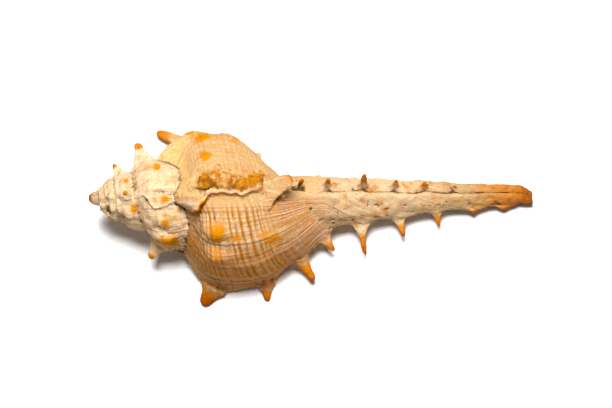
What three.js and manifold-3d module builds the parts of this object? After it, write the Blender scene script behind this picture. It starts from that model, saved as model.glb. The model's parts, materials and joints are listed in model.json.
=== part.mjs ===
// A murex sea shell, lying on its aperture with its long siphonal canal along +X.
// Millimetres, +Z up. The shell is one solid: a strip of wall is rolled into a growing spiral,
// spines are joined to its ribs, and the aperture and the canal's slit are cut out of it.
import * as THREE from "three";
import { mergeVertices } from "three/addons/utils/BufferGeometryUtils.js";
import Module from "manifold-3d";

const { lerp, smoothstep } = THREE.MathUtils;
const DEGREE = Math.PI / 180;
const NEAR = 1e-6; // turns that differ by less are the same
const WELD = 1e-4; // points that are nearer than this are one

// The spiral. A turn is counted from the outer lip: 0 at the lip, -1 one turn earlier.
// A bearing is an angle about the shell's axis, in degrees: 0 points to the shell's back and 90
// towards +Y. The lip has the least bearing, and bearings count on past 360 to earlier turns.
const GROWTH = 1.72; // size of each turn against the turn before
const TURNS = 5;
const APEX = 0.2; // where the blunt first turn begins
const RIBS_PER_TURN = 3; // varices, each a former lip
const LIP_BEARING = -119;

// The wall's outline at the lip: distance from the apex, radius, and how far a rib stands out.
// One turn later, the next turn's suture lies on this outline.
const SUTURE = [20.5, 10.4];
const OUTLINE_POINTS = [
  [...SUTURE, 1.0],
  [22.8, 14.2, 2.0],
  [26.2, 17.0, 2.6],
  [30.6, 18.1, 2.5],
  [SUTURE[0] * GROWTH, SUTURE[1] * GROWTH, 2.3],
  [39.8, 16.9, 2.2],
  [43.6, 14.6, 2.0],
  [47.2, 12.4, 1.7],
  [50.6, 9.4, 1.3],
  [54.0, 6.0, 0.8],
];
const NEXT_SUTURE_POINT = 4;
const ROWS_PER_POINT = 2;

// Between two ribs: where a rib begins and is full, where the two knobs of the shoulder are, and
// the steps that the wall is built in, all as parts of the way from one rib to the next.
const RIB_RISE = [0.7, 0.96];
const KNOB_PLACES = [0.27, 0.5];
const KNOB_SPREAD = 0.07;
const STEPS_BETWEEN_RIBS = [0, 0.1, 0.19, 0.27, 0.35, 0.43, 0.51, 0.6, 0.71, 0.82, 0.9, 0.97];
const KNOB_HEIGHT = 1.5;
const KNOB_ROW = 0.27; // the shoulder, as a share of the outline
const KNOB_ROW_SPREAD = 0.12;

// The lip stands out further than earlier ribs at its shoulder, and draws in towards the canal:
// the height of each, its place as a share of the outline, and its spread.
const LIP_FLARE = [1.5, 0.34, 0.2];
const LIP_WAIST = [-4.4, 0.8, 0.2];

// The siphonal canal, a tapering tube that goes on from the last turn: place and radius.
const LENGTH = 94.6;
const CANAL_RADII = [[30, 4.5], [50, 4.5], [56, 4.3], [66, 3.6], [77, 2.75], [87, 2.25], [95, 2.0]];
const CANAL_ROWS = 12;
const CANAL_RIB = 0.5;
const CANAL_BEND = 0.65;
const CANAL_BEND_SPAN = [52, 84];
const TIP_SLANT = 2.8; // the broken tip ends this much sooner on its +Y side
const BLEND = 1.6; // rounding between the last turn and the canal

// The aperture: an oval in the plane of the lip, carried back along the spiral, and the canal's slit.
const APERTURE_CENTRE = [32.4, 11.6];
const APERTURE_HALF = [8.8, 4.9];
const APERTURE_LEAN = -0.16; // radians: its lower end is nearer the axis
const APERTURE_SIDES = 14;
const APERTURE_TURNS = [0.05, -0.85];
const APERTURE_STEPS = 16;
const SLIT_SPAN = [38, 100];
const SLIT_WIDTH = 0.9;
const SLIT_DEPTH = 2.4;
const SLIT_BLADE = 10; // height of the blade that cuts the slit
const SLIT_BEARING = -136;

// Spines: base and tip along the axis, reach from the axis, width at the base, and bearing.
const LIP_SPINES = [
  [26.0, 24.0, 24.7, 3.9, -113],
  [37.6, 37.8, 23.6, 2.6, -110],
  [43.6, 47.8, 18.2, 3.0, -104],
  [50.4, 52.1, 11.6, 1.9, -100],
  [57.8, 58.7, 12.6, 2.3, -96],
  [66.0, 67.0, 8.6, 2.1, -95],
  [73.9, 74.5, 7.0, 1.8, -94],
  [81.6, 82.0, 4.1, 1.8, -94],
  [88.0, 88.4, 3.2, 1.4, -94],
];
const BACK_SPINES = [
  [25.2, 25.0, 19.2, 3.4, 11],
  [36.0, 36.6, 17.6, 2.4, 12],
  [39.8, 43.4, 13.2, 2.8, 18],
  [44.6, 45.3, 8.6, 1.6, 26],
  [50.5, 50.8, 8.0, 1.8, 30],
  [58.1, 58.5, 9.2, 2.0, 31],
  [65.0, 65.2, 6.9, 1.7, 31],
  [71.2, 71.4, 5.4, 1.5, 31],
  [77.6, 77.8, 4.0, 1.3, 31],
];
const FAR_SPINES = [
  [18.6, 14.8, 18.6, 3.2, 130],
  [27.0, 27.4, 15.2, 2.2, 132],
  [33.0, 36.4, 12.2, 2.6, 129],
  [40.6, 41.2, 8.8, 1.7, 144],
  [48.4, 48.8, 9.4, 1.9, 148],
  [56.2, 56.6, 8.6, 1.8, 150],
  [63.8, 64.0, 6.6, 1.6, 150],
  [70.4, 70.6, 5.0, 1.4, 150],
];
const SPIRE_SPINES = [
  [14.6, 12.6, 13.6, 2.9, 252],
  [15.0, 13.6, 11.6, 2.4, 368],
  [11.6, 9.8, 12.4, 2.5, 466],
  [9.0, 8.4, 7.4, 1.8, 614],
  [8.6, 7.6, 7.0, 1.6, 730],
  [6.4, 4.8, 7.4, 1.7, 820],
];
const SPINE_SIDES = 7;
const SPINE_ROOT = 2.0; // how deep a spine is rooted in the wall
const SPINE_FOOT = 1.5; // width at the root, as a share of the base width
// A spine's outline: part of the way from the wall to the tip, and share of its base width.
const SPINE_PROFILE = [[0, 1.25], [0.2, 0.92], [0.5, 0.64], [0.88, 0.46]];

// How it lies: rolled and pitched from the shell's own axes, and worn flat where it touches.
const ROLL = 3.3;
const PITCH = 7.7;
const WORN = 0.3;

const SHELL_COLOUR = 0xd8b98e;

const OUTLINE = new THREE.CatmullRomCurve3(
  OUTLINE_POINTS.map((point) => new THREE.Vector3(...point)),
  false,
  "catmullrom",
);
const WHORL_ROWS = (OUTLINE_POINTS.length - 1) * ROWS_PER_POINT;
const SUTURE_ROW = NEXT_SUTURE_POINT * ROWS_PER_POINT;
const BODY_ROWS = WHORL_ROWS + CANAL_ROWS;

function bump(distance, spread) {
  return Math.exp(-((distance / spread) ** 2));
}

// The larger of two radii, rounded over where they meet.
function blendedMax(a, b) {
  const nearness = Math.max(BLEND - Math.abs(a - b), 0) / BLEND;
  return Math.max(a, b) + (nearness * nearness * BLEND) / 4;
}

function canalRadius(along) {
  const next = CANAL_RADII.findIndex(([spot]) => spot > along);
  if (next === 0) return CANAL_RADII[0][1];
  if (next < 0) return CANAL_RADII.at(-1)[1];
  const [[a, radiusA], [b, radiusB]] = [CANAL_RADII[next - 1], CANAL_RADII[next]];
  return lerp(radiusA, radiusB, (along - a) / (b - a));
}

// A point of the shell's own frame, whose axis is X with the apex at 0.
function place(along, radius, bearing) {
  const bend = CANAL_BEND * smoothstep(along, ...CANAL_BEND_SPAN);
  const angle = bearing * DEGREE;
  return new THREE.Vector3(along, bend + radius * Math.sin(angle), radius * Math.cos(angle));
}

const bearingAt = (turn) => LIP_BEARING - 360 * turn;
const turnAt = (bearing) => (LIP_BEARING - bearing) / 360;

// Part of the way from one rib's foot to the next rib's edge.
function ribPhase(turn) {
  const ribs = turn * RIBS_PER_TURN;
  return ribs - Math.floor(ribs + NEAR);
}

// Radius of a whorl's wall at a share of its outline, ribs and knobs included.
function whorlRadius(turn, share) {
  const phase = ribPhase(turn);
  const outline = OUTLINE.getPoint(share);
  let ribHeight = outline.z;
  if (turn > -1 / RIBS_PER_TURN) {
    for (const [height, spot, spread] of [LIP_FLARE, LIP_WAIST]) {
      ribHeight += height * bump(share - spot, spread);
    }
  }
  const rib = smoothstep(phase, ...RIB_RISE) * ribHeight;
  const knobs = KNOB_PLACES.reduce((sum, spot) => sum + bump(phase - spot, KNOB_SPREAD), 0);
  const knobHeight = KNOB_HEIGHT * bump(share - KNOB_ROW, KNOB_ROW_SPREAD);
  return GROWTH ** turn * (outline.y + rib + knobs * knobHeight);
}

// A point of the wall: rows run from the suture over the shoulder and the base to the canal's tip.
function wallPoint(turn, row) {
  if (row === 0 && turn - 1 > -TURNS - NEAR) return wallPoint(turn - 1, SUTURE_ROW);
  const bearing = bearingAt(turn);
  const size = GROWTH ** turn;
  const whorlShare = Math.min(row / WHORL_ROWS, 1);
  const canalShare = Math.max(row - WHORL_ROWS, 0) / CANAL_ROWS;
  const tip = LENGTH - TIP_SLANT * Math.max(0, Math.sin(bearing * DEGREE));
  const along = lerp(size * OUTLINE.getPoint(whorlShare).x, tip, canalShare);
  const whorl = whorlRadius(turn, whorlShare) * (1 - canalShare);
  if (row <= SUTURE_ROW) return place(along, whorl, bearing);
  const canalRib = CANAL_RIB * smoothstep(ribPhase(turn), ...RIB_RISE) * (1 - canalShare);
  return place(along, blendedMax(whorl, canalRadius(along) + canalRib), bearing);
}

// Radius of the wall at a place along the axis, found on the outline of the turn with that bearing.
function wallRadius(along, bearing) {
  const turn = turnAt(bearing);
  const target = along / GROWTH ** turn;
  let [low, high] = [0, 1];
  while (high - low > NEAR) {
    const middle = (low + high) / 2;
    if (OUTLINE.getPoint(middle).x < target) low = middle;
    else high = middle;
  }
  const pastWhorl = target > OUTLINE.getPoint(1).x;
  return pastWhorl ? canalRadius(along) : blendedMax(whorlRadius(turn, low), canalRadius(along));
}

// Columns of the strip: the same steps between every two ribs, so that turns meet vertex to vertex.
function columnTurns(from, to) {
  const turns = [];
  for (let rib = Math.round(from * RIBS_PER_TURN); rib <= to * RIBS_PER_TURN; rib += 1) {
    for (const step of STEPS_BETWEEN_RIBS) turns.push((rib + step) / RIBS_PER_TURN);
  }
  return turns.filter((turn) => turn < to + NEAR);
}

// The closed outside of the shell, with the aperture still filled.
function outsideGeometry() {
  const points = [];
  const faces = [];
  const addStrip = (turns, rows) => {
    const first = points.length;
    const vertex = (column, row) => first + column * (rows + 1) + row;
    for (const turn of turns) {
      for (let row = 0; row <= rows; row += 1) points.push(wallPoint(turn, row));
    }
    for (let column = 0; column + 1 < turns.length; column += 1) {
      for (let row = 0; row < rows; row += 1) {
        const [a, b] = [vertex(column, row), vertex(column, row + 1)];
        const [c, d] = [vertex(column + 1, row), vertex(column + 1, row + 1)];
        faces.push(a, d, b, a, c, d);
      }
    }
    return vertex;
  };
  const addFan = (centre, loop) => {
    const hub = points.push(centre) - 1;
    for (let i = 0; i + 1 < loop.length; i += 1) faces.push(hub, loop[i], loop[i + 1]);
  };
  const spireTurns = columnTurns(-TURNS, -1);
  const bodyTurns = columnTurns(-1, -NEAR * 2);
  const spire = addStrip(spireTurns, SUTURE_ROW);
  const body = addStrip(bodyTurns, BODY_ROWS);
  const lastColumn = bodyTurns.length - 1;

  // The first turn starts in a blunt cap.
  const start = [];
  const stepsPerTurn = STEPS_BETWEEN_RIBS.length * RIBS_PER_TURN;
  for (let column = stepsPerTurn; column >= 0; column -= 1) start.push(spire(column, 0));
  for (let row = 1; row <= SUTURE_ROW; row += 1) start.push(spire(0, row));
  addFan(new THREE.Vector3(APEX, 0, 0), start);

  // The canal's tip is closed across its end.
  const end = bodyTurns.map((_, column) => body(column, BODY_ROWS));
  addFan(new THREE.Vector3(LENGTH - TIP_SLANT / 3, CANAL_BEND, 0), [...end, end[0]]);

  // The lip, the last column, is closed against the inner lip, the first column of the same turn,
  // by a ribbon of triangles that steps along whichever edge is behind.
  let [outer, inner] = [0, SUTURE_ROW];
  while (outer < BODY_ROWS || inner < BODY_ROWS) {
    const [a, b] = [body(lastColumn, outer), body(0, inner)];
    const outerNext = outer < BODY_ROWS ? points[body(lastColumn, outer + 1)].x : Infinity;
    const innerNext = inner < BODY_ROWS ? points[body(0, inner + 1)].x : Infinity;
    if (outerNext < innerNext) outer += 1;
    else inner += 1;
    faces.push(a, b, outerNext < innerNext ? body(lastColumn, outer) : body(0, inner));
  }

  return new THREE.BufferGeometry().setFromPoints(points).setIndex(faces);
}

// One spine: a turned horn rooted in the wall and pointed the way it grew.
function spineGeometry([base, tip, reach, width, bearing]) {
  const wall = place(base, wallRadius(base, bearing), bearing);
  const top = place(tip, reach, bearing);
  const direction = top.clone().sub(wall);
  const height = direction.length();
  direction.normalize();
  const half = width / 2;
  const profile = [new THREE.Vector2(0, -SPINE_ROOT), new THREE.Vector2(half * SPINE_FOOT, -SPINE_ROOT)];
  for (const [share, part] of SPINE_PROFILE) profile.push(new THREE.Vector2(half * part, share * height));
  profile.push(new THREE.Vector2(0, height));
  const horn = new THREE.LatheGeometry(profile, SPINE_SIDES);
  const turned = new THREE.Quaternion().setFromUnitVectors(new THREE.Vector3(0, 1, 0), direction);
  return horn.applyMatrix4(new THREE.Matrix4().compose(wall, turned, new THREE.Vector3(1, 1, 1)));
}

// The hollow behind the aperture: its oval is turned and shrunk along the same spiral as the wall.
function apertureGeometry() {
  const points = [];
  const faces = [];
  const vertex = (step, side) => step * APERTURE_SIDES + (side % APERTURE_SIDES);
  for (let step = 0; step <= APERTURE_STEPS; step += 1) {
    const turn = lerp(...APERTURE_TURNS, step / APERTURE_STEPS);
    const size = GROWTH ** turn;
    for (let side = 0; side < APERTURE_SIDES; side += 1) {
      const angle = (side / APERTURE_SIDES) * 2 * Math.PI;
      const oval = new THREE.Vector2(APERTURE_HALF[0] * Math.cos(angle), APERTURE_HALF[1] * Math.sin(angle));
      oval.rotateAround(new THREE.Vector2(), APERTURE_LEAN).add(new THREE.Vector2(...APERTURE_CENTRE));
      points.push(place(size * oval.x, size * oval.y, bearingAt(turn)));
    }
  }
  for (let step = 0; step < APERTURE_STEPS; step += 1) {
    for (let side = 0; side < APERTURE_SIDES; side += 1) {
      const [a, b] = [vertex(step, side), vertex(step, side + 1)];
      const [c, d] = [vertex(step + 1, side), vertex(step + 1, side + 1)];
      faces.push(a, d, b, a, c, d);
    }
  }
  for (let side = 1; side + 1 < APERTURE_SIDES; side += 1) {
    faces.push(vertex(0, 0), vertex(0, side), vertex(0, side + 1));
    faces.push(vertex(APERTURE_STEPS, 0), vertex(APERTURE_STEPS, side + 1), vertex(APERTURE_STEPS, side));
  }
  return new THREE.BufferGeometry().setFromPoints(points).setIndex(faces);
}

// The slit along the canal, a thin blade that follows the canal's taper.
function slitGeometry() {
  const [from, to] = SLIT_SPAN;
  const start = place(from, canalRadius(from) - SLIT_DEPTH, SLIT_BEARING);
  const end = place(to, 0, SLIT_BEARING);
  const blade = new THREE.BoxGeometry(start.distanceTo(end), SLIT_WIDTH, SLIT_BLADE);
  blade.translate(0, 0, SLIT_BLADE / 2);
  const along = end.clone().sub(start).normalize();
  const out = place(0, 1, SLIT_BEARING).projectOnPlane(along).normalize();
  const across = out.clone().cross(along);
  const frame = new THREE.Matrix4().makeBasis(along, across, out);
  return blade.applyMatrix4(frame.setPosition(start.lerp(end, 0.5)));
}

const wasm = await Module();
wasm.setup();

// Turns a point of the shell's own frame to the way it lies.
const LYING = new THREE.Matrix4().makeRotationFromEuler(
  new THREE.Euler(ROLL * DEGREE, PITCH * DEGREE, 0, "YXZ"),
);

function solid(geometry) {
  const bare = geometry.clone().deleteAttribute("normal").deleteAttribute("uv");
  const merged = mergeVertices(bare, WELD);
  const triVerts = [];
  for (let i = 0; i < merged.index.count; i += 3) {
    const corners = [0, 1, 2].map((corner) => merged.index.getX(i + corner));
    if (new Set(corners).size === 3) triVerts.push(...corners); // a pole's collapsed faces are dropped
  }
  return new wasm.Manifold(
    new wasm.Mesh({
      numProp: 3,
      vertProperties: merged.attributes.position.array,
      triVerts: new Uint32Array(triVerts),
    }),
  );
}

function meshGeometry(made) {
  const { numProp, vertProperties, triVerts } = made.getMesh();
  const geometry = new THREE.BufferGeometry();
  geometry.setAttribute("position", new THREE.BufferAttribute(vertProperties, numProp));
  geometry.setIndex(new THREE.BufferAttribute(triVerts, 1));
  geometry.computeVertexNormals();
  geometry.computeBoundingBox();
  return geometry;
}

// The whole shell, turned to the way it lies, with small flats worn where it touches the ground.
function shell() {
  const spines = [...LIP_SPINES, ...BACK_SPINES, ...FAR_SPINES, ...SPIRE_SPINES];
  let made = solid(outsideGeometry());
  for (const spine of spines) made = made.add(solid(spineGeometry(spine)));
  made = made.subtract(solid(apertureGeometry()));
  made = made.subtract(solid(slitGeometry()));
  const lying = meshGeometry(made).applyMatrix4(LYING);
  const lowest = lying.boundingBox.min.z;
  const ground = new THREE.BoxGeometry(4 * LENGTH, 4 * LENGTH, LENGTH);
  ground.translate(0, 0, lowest + WORN - LENGTH / 2);
  return meshGeometry(solid(lying).subtract(solid(ground)));
}

const geometry = shell();
const material = new THREE.MeshStandardMaterial({ color: SHELL_COLOUR, roughness: 0.6, metalness: 0 });
const mesh = new THREE.Mesh(geometry, material);
mesh.name = "shell";
const centre = geometry.boundingBox.getCenter(new THREE.Vector3());
mesh.position.set(-centre.x, -centre.y, -geometry.boundingBox.min.z);

const group = new THREE.Group();
group.add(mesh);
export default group;
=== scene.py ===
# %% [markdown]
# # A weathered murex shell
# The object is one natural piece: a sea snail's shell with ribs, spines and a long canal.
# The solid shell in the frame has the true size and place. This lesson models the fine shell
# that is seen in its place, gives it its stains and growth lines, and lights it on a pale floor.

# %% Load the frame
import json
import math

import bmesh
import bpy
import numpy as np
from mathutils import Euler, Matrix, Vector

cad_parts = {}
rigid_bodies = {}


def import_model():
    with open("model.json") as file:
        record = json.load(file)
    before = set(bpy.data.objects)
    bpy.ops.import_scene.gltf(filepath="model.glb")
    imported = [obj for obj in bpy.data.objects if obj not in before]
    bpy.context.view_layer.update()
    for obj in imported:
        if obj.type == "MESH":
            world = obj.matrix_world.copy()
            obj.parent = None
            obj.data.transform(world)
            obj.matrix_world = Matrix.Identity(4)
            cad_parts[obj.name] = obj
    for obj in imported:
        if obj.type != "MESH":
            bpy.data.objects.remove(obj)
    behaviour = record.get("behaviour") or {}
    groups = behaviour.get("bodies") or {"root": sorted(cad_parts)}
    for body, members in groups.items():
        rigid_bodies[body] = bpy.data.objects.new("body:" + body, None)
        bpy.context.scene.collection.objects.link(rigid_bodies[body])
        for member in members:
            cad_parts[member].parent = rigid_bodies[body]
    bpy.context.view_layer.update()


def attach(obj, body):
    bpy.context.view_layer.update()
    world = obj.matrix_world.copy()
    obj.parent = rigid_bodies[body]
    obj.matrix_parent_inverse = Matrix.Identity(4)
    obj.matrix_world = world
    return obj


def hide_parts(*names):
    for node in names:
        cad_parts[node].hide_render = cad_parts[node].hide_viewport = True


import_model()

# %% [markdown]
# ## The spiral
# A snail builds its shell at the lip only, and each turn is the same shape as the turn before,
# but larger. So one outline is enough: turned about the axis and scaled from the apex, it gives
# every place on the wall. Sizes are in millimetres in the shell's own frame, with the axis on X,
# the apex at 0 and the back of the shell up. A place on the wall has two numbers: its turn, 0 at
# the lip and -1 one turn earlier, and its row, 0 at the seam with the turn before, 4 where the
# next turn's seam runs, 9 where the whorl becomes the canal and 10 at the canal's tip.

# %% Sizes of the spiral
GROWTH = 1.72  # how many times as large a turn is as the turn before
FIRST_TURN = -5.6
RIBS = 3  # in each turn
LIP_BEARING = -119  # degrees, with 0 on the back of the shell
LIP_END = -0.0107  # the turn at the front of the lip
SUNK_ROW, SEAM_ROW, NEXT_SEAM_ROW, CANAL_ROW, TIP_ROW = -1, 0, 4, 9, 10

# From the sunk edge to the canal: distance from the apex, radius, height of a rib, and how far
# the last turn's ramp lies forward and inward, because it covers less of the turn before.
OUTLINE = np.array([
    (19.4, 6.0, 0.4, 4.2, 0.6),
    (20.5, 10.4, 1.0, 3.8, 1.1),
    (22.8, 14.2, 2.0, 3.3, 2.0),
    (26.2, 17.0, 2.6, 2.0, 1.2),
    (30.6, 18.1, 2.5, 0.6, 0.8),
    (35.26, 17.89, 2.3, 0.0, 0.0),
    (39.8, 16.9, 2.2, 0.0, 0.0),
    (43.6, 14.6, 2.0, 0.0, 0.0),
    (47.2, 12.4, 1.7, 0.0, 0.0),
    (50.6, 9.4, 1.3, 0.0, 0.0),
    (54.0, 6.0, 0.8, 0.0, 0.0),
])
# Turns, and how much of that ramp each of them has.
RAMP_TURNS = (-1.3, -0.95, -0.68, -0.60, -0.53, -0.49, -0.40, -0.345, -0.315, -0.295, -0.22, -0.1, 0)
RAMP_SHARES = (0, 0.3, -0.2, -0.3, 0.9, 1.15, 1.05, 0.45, 0.3, 0.95, 0.95, 0.3, -0.25)
# The first turns have no ribs yet, and are fatter than the spiral asks: turns, and times as fat.
RIB_TURNS = (-4.6, -2.8)
FAT_TURNS, FATNESS = (-5.6, -4.3, -3.4, -2.6, -1.8), (1.4, 1.7, 1.4, 1.15, 1.0)
# The canal: where it ends, the slant of its end, its radii along the axis, its bend to the side,
# the height of its ribs, its twist in degrees, and how softly it joins the whorl.
LENGTH = 94.6
TIP_SLANT = 2.8
CANAL_PLACES = (30, 50, 56, 66, 77, 87, 95)
CANAL_RADII = (4.5, 4.5, 4.3, 3.6, 2.75, 2.25, 2.0)
CANAL_BEND, CANAL_BEND_SPAN = 0.65, (52, 84)
CANAL_RIB = 0.5
CANAL_TWIST = -22
BLEND = 1.8


def smooth(low, high, x):
    """0 below low, 1 above high, and an eased step between."""
    part = np.clip((x - low) / (high - low), 0, 1)
    return part * part * (3 - 2 * part)


def bump(distance, spread):
    """1 at no distance, and falling away over the spread on both sides."""
    return np.exp(-((distance / spread) ** 2))


def outline(turn, row):
    """The outline's along, radius and rib height: a smooth curve through its points."""
    ends = np.vstack([2 * OUTLINE[0] - OUTLINE[1], OUTLINE, 2 * OUTLINE[-1] - OUTLINE[-2]])
    spot = np.clip(np.asarray(row, float) - SUNK_ROW, 0, len(OUTLINE) - 1 - 1e-9)
    first = spot.astype(int)
    t = (spot - first)[..., None]
    a, b, c, d = (ends[first + step] for step in range(4))
    curve = b + 0.5 * t * (c - a + t * (2 * a - 5 * b + 4 * c - d + t * (3 * (b - c) + d - a)))
    ramp = np.interp(turn, RAMP_TURNS, RAMP_SHARES)
    return curve[..., 0] + ramp * curve[..., 3], curve[..., 1] - ramp * curve[..., 4], curve[..., 2]


def place(along, radius, bearing):
    """A point of the shell's frame. Bearing 0 is the back of the shell, and 90 is towards +Y."""
    angle = np.radians(bearing)
    bend = CANAL_BEND * smooth(*CANAL_BEND_SPAN, along)
    return np.stack([along, bend + radius * np.sin(angle), radius * np.cos(angle)], -1)


print("outline at the shoulder:", [round(float(x), 2) for x in outline(-0.5, 2.5)])

# %% [markdown]
# ## Ribs, knobs and scoops
# Three times in each turn the snail rested, and its lip thickened into a rib with spines. The
# rib rises slowly to a crest. In front of the crest is a pale ledge, the old lip, with a ragged
# edge, and near the seam some old lips stand forward like a scoop. Between two ribs the shoulder
# has two knobs. All of this could be sculpted, but as heights in a formula they follow the growth.

# %% Where the spines stand
# Foot and tip along the axis, reach of the tip from the axis, width of the foot, bearing, and
# how much broader the foot is along the rib.
LIP_SPINES = (
    (25.8, 24.0, 25.0, 4.9, -113, 1.25),
    (37.6, 37.8, 23.6, 2.9, -110, 1.5),
    (45.0, 47.8, 18.2, 3.1, -104, 1.5),
    (50.4, 52.1, 11.6, 1.9, -100, 1.8),
    (57.8, 58.7, 12.6, 2.1, -96, 1.9),
    (66.0, 67.0, 8.6, 1.9, -95, 1.9),
    (73.9, 74.5, 7.0, 1.7, -94, 1.9),
    (81.6, 82.0, 4.1, 2.0, -94, 1.7),
    (88.0, 88.4, 3.2, 1.6, -94, 1.7),
)
BACK_SPINES = (
    (44.6, 45.3, 8.6, 1.9, 26, 1.3),
    (50.5, 50.8, 8.0, 2.2, 30, 1.3),
    (58.1, 58.5, 9.6, 2.0, 31, 1.3),
    (65.0, 65.2, 6.9, 2.0, 31, 1.3),
    (71.2, 71.4, 5.4, 1.8, 31, 1.3),
    (77.6, 77.8, 4.0, 1.6, 31, 1.3),
)
FAR_SPINES = (
    (20.6, 13.8, 18.6, 3.8, 130, 1.5),
    (27.0, 27.4, 15.2, 2.4, 132, 1.5),
    (33.0, 36.4, 12.2, 2.8, 129, 1.8),
    (40.6, 41.2, 8.8, 1.9, 144, 1.4),
    (48.4, 48.8, 9.4, 2.1, 148, 1.4),
    (56.2, 56.6, 8.6, 2.0, 150, 1.4),
    (63.8, 64.0, 6.6, 1.8, 150, 1.4),
    (70.4, 70.6, 5.0, 1.6, 150, 1.4),
)
SPIRE_SPINES = (
    (14.6, 12.6, 13.6, 3.4, 252, 1.6),
    (11.6, 9.8, 12.4, 3.6, 466, 2.2),
    (8.6, 7.6, 7.4, 1.6, 730, 1.5),
    (6.4, 4.8, 7.4, 2.3, 820, 2.2),
)
RIB_SPINES = {0: LIP_SPINES, -1: BACK_SPINES, -2: FAR_SPINES}
print("spines on the last ribs:", [len(group) for group in RIB_SPINES.values()])

# %% Sizes of ribs and knobs
# Places across a rib are in parts of the ribs' spacing, with 0 at its plain front.
RIB_RISE, LIP_RISE = (-0.30, -0.09), (-0.19, -0.02)
CREST, CREST_SPREAD = -0.09, 0.12
# The ledge in front of the crest: rows, its levels there as shares of the rib, where it falls to
# them, how its edge sways, and the rows over which it gives way to a round rib.
LEDGE_ROWS, LEDGE_LEVELS, LEDGE_FALL = (2.2, 3.2), (0.66, 0.36), (-0.085, -0.045)
LEDGE_SWAY, LEDGE_WAVES = 0.014, (2.4, 5.7)
LEDGE_END = (7.5, 9)
# The old lip's front: its steepness, its rim, which is twice as high above RIM_ROWS, and the
# groove at its foot.
RIB_FRONT = 0.02
RIM, RIM_SPREAD, RIM_ROWS = 0.3, 0.016, (1.5, 3.2)
FOOT_GROOVE, FOOT_GROOVE_SPREAD = 0.08, 0.012
# For a rib, counted back from the lip: rows, and how far forward the old lip's edge stands there.
OLD_LIPS = {
    -1: (
        (-0.2, 0.3, 0.9, 1.95, 2.6, 3.1, 3.85, 4.3, 4.55, 4.85, 5.15, 5.6, 6.0, 7.5, 8.5),
        (
            0.12, 0.15, 0.152, 0.112, 0.055, -0.006, -0.009, 0.0,
            -0.009, 0.014, -0.006, -0.03, -0.04, 0.0, 0.0,
        ),
    ),
    -4: ((1.2, 1.7, 2.5, 3.2, 4.0, 4.8, 5.5), (0.0, 0.02, 0.14, 0.125, 0.09, 0.065, 0.06)),
}
# The edges of the other ribs are scalloped.
SCALLOP, SCALLOP_WAVES = 0.008, (5.3, 12.1)
# For an interval, counted as the rib at its end: the phases of its knobs.
KNOBS = {0: (0.23, 0.43), -1: (0.27, 0.72)}
OTHER_KNOBS = (0.27, 0.5)
KNOB_SPREAD, KNOB_HEIGHT = 0.055, 1.5
KNOB_ROW, KNOB_ROW_SPREAD = 2.8, 0.85
# The lip is higher at its shoulder and lower at its waist: height, row and spread.
LIP_FLARE = (1.2, 3.06, 1.8)
LIP_WAIST = (-4.4, 7.2, 1.8)
# The fullest place of the last turn: height, turn and its spread, row and its spread.
BELLY = (2.3, -0.58, 0.09, 5.7, 1.5)
# Folds run up to the spines: height for each rib in widths of the spine, reach along the rib in
# widths, half thickness, and the widest that a spine counts as.
WEB_HEIGHTS, WEB_SPREAD, WEB_THICKNESS = {0: 0.6, -1: 0.2, -2: 0.3}, 0.75, 1.7
WEB_WIDEST = 2.2
print("ragged old lips:", len(OLD_LIPS))

# %% Heights on the wall
SECOND_WAVE = 0.6


def nearest_rib(turn):
    """How far a place is past the nearest rib, in parts of the ribs' spacing, and which rib."""
    ribs = turn * RIBS
    number = np.minimum(np.round(ribs), 0)
    return ribs - number, number


def eased(x, places, values):
    """A curve through values at places, level at each of them."""
    last = np.clip(np.searchsorted(places, x), 1, len(places) - 1)
    low, high = np.array(values)[last - 1], np.array(values)[last]
    return low + (high - low) * smooth(np.array(places)[last - 1], np.array(places)[last], x)


def ripple(row, slow, fast):
    """Two waves along the rows, one on top of the other."""
    return np.sin(slow * row) + SECOND_WAVE * np.sin(fast * row + 1.0)


def old_lip(number, row):
    """How far forward a rib's edge stands at a row."""
    reach = SCALLOP * ripple(row, *SCALLOP_WAVES) * (row < CANAL_ROW)
    for rib, (rows, forward) in OLD_LIPS.items():
        reach = np.where(number == rib, eased(row, rows, forward), reach)
    return reach


def rib_profile(turn, row):
    """The rib's share of its full height at a place."""
    past, number = nearest_rib(turn)
    reach = old_lip(number, row)
    rim = RIM * (2 - smooth(*RIM_ROWS, row)) * bump(past - reach + RIB_FRONT, RIM_SPREAD)
    level = np.interp(row, LEDGE_ROWS, LEDGE_LEVELS)
    sway = LEDGE_SWAY * ripple(row, *LEDGE_WAVES)
    ledge = 1 - (1 - level) * smooth(*LEDGE_FALL, past + sway) + rim
    front = 1 - smooth(reach - RIB_FRONT, reach, past)
    groove = FOOT_GROOVE * bump(past - reach - FOOT_GROOVE_SPREAD, FOOT_GROOVE_SPREAD)
    rest = smooth(*RIB_RISE, past) * ledge * front - groove
    round_rib = bump(past - CREST, CREST_SPREAD)
    rest = rest + (round_rib - rest) * smooth(*LEDGE_END, row)
    return np.where(number == 0, smooth(*LIP_RISE, past), rest)


def knob_profile(turn, row):
    """The knobs' share of their full height at a place."""
    interval = np.ceil(turn * RIBS)
    phase = turn * RIBS - np.floor(turn * RIBS)
    knobs = sum(bump(phase - spot, KNOB_SPREAD) for spot in OTHER_KNOBS)
    for end, spots in KNOBS.items():
        knobs = np.where(interval == end, sum(bump(phase - spot, KNOB_SPREAD) for spot in spots), knobs)
    return knobs * bump(row - KNOB_ROW, KNOB_ROW_SPREAD)


def webs(turn, along, radius, bearing):
    """Height of the folds of the rib that run up to its spines."""
    number = nearest_rib(turn)[1]
    height = np.zeros_like(along)
    for rib, spines in RIB_SPINES.items():
        for foot, _, _, width, spine_bearing, _ in spines:
            fold = np.exp(-np.abs(along - foot) / (WEB_SPREAD * width))
            aside = bump(radius * np.radians(bearing - spine_bearing), WEB_THICKNESS)
            height += (number == rib) * WEB_HEIGHTS[rib] * min(width, WEB_WIDEST) * fold * aside
    return height


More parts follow.
